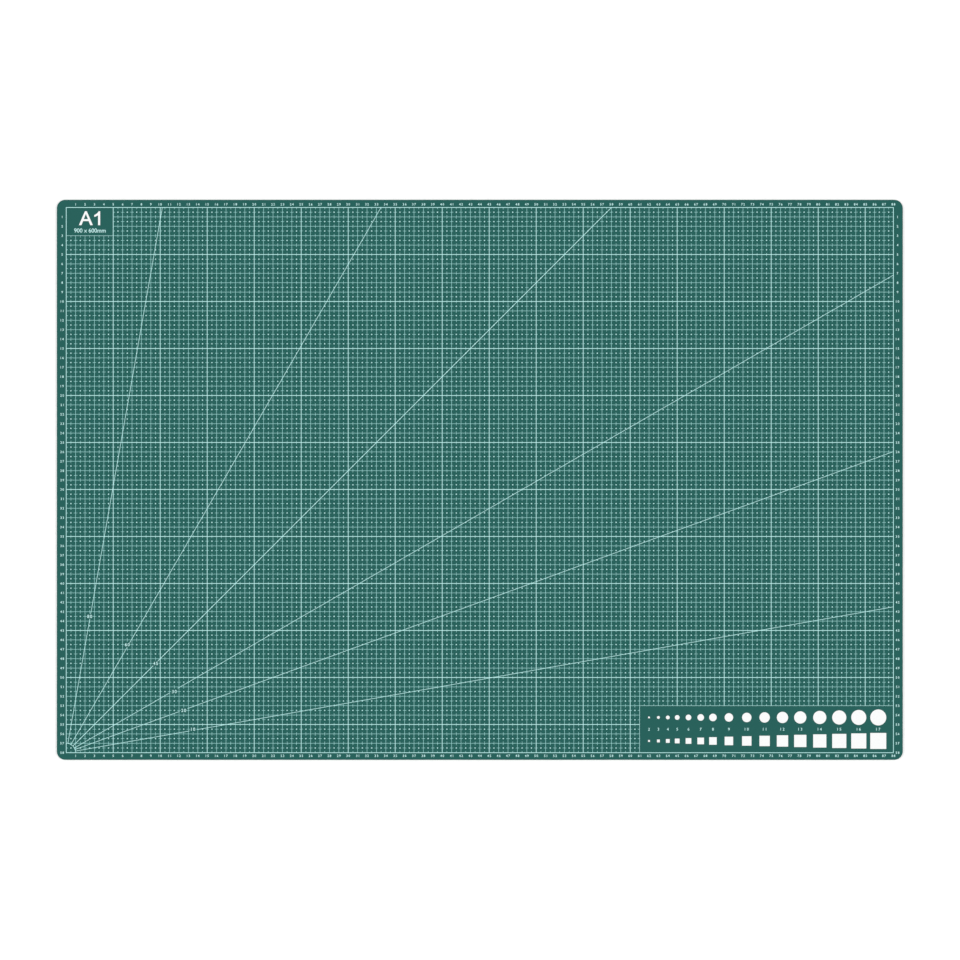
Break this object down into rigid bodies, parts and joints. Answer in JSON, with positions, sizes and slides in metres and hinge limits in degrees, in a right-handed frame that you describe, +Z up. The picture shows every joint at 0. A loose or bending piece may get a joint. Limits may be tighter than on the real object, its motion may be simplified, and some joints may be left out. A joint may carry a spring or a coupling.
{
  "type": "self healing cutting mat",
  "caption": "Flat rectangular cutting mat with rounded corners, a laminate of bonded plies with a white ruled grid, angle lines and size gauges printed on its top.",
  "frame": {"origin": "centre of the underside, on the surface that the mat lies on", "axes": "+X along the long side, towards the right of the print; +Y towards the print's top edge; +Z up out of the printed face"},
  "size_m": [0.9, 0.5958, 0.003],
  "materials": {
    "healing_pvc": "matte with a very fine pebble texture",
    "bonding_film": "thin clear adhesive film seen at its edge",
    "core_board": "rigid grey plastic seen at its die-cut edge",
    "screen_ink": "matte white screen ink"
  },
  "bodies": {
    "root": {"bottom_healing_layer": "healing_pvc", "lower_bonding_film": "bonding_film", "stiffening_core": "core_board", "upper_bonding_film": "bonding_film", "top_healing_layer": "healing_pvc", "ruled_line_print": "screen_ink", "gauge_disc_02": "screen_ink", "gauge_disc_03": "screen_ink", "gauge_disc_04": "screen_ink", "gauge_disc_05": "screen_ink", "gauge_disc_06": "screen_ink", "gauge_disc_07": "screen_ink", "gauge_disc_08": "screen_ink", "gauge_disc_09": "screen_ink", "gauge_disc_10": "screen_ink", "gauge_disc_11": "screen_ink", "gauge_disc_12": "screen_ink", "gauge_disc_13": "screen_ink", "gauge_disc_14": "screen_ink", "gauge_disc_15": "screen_ink", "gauge_disc_16": "screen_ink", "gauge_disc_17": "screen_ink", "gauge_square_02": "screen_ink", "gauge_square_03": "screen_ink", "gauge_square_04": "screen_ink", "gauge_square_05": "screen_ink", "gauge_square_06": "screen_ink", "gauge_square_07": "screen_ink", "gauge_square_08": "screen_ink", "gauge_square_09": "screen_ink", "gauge_square_10": "screen_ink", "gauge_square_11": "screen_ink", "gauge_square_12": "screen_ink", "gauge_square_13": "screen_ink", "gauge_square_14": "screen_ink", "gauge_square_15": "screen_ink", "gauge_square_16": "screen_ink", "gauge_square_17": "screen_ink", "title_letter_a": "screen_ink", "title_digit_1": "screen_ink"}
  },
  "joints": []
}
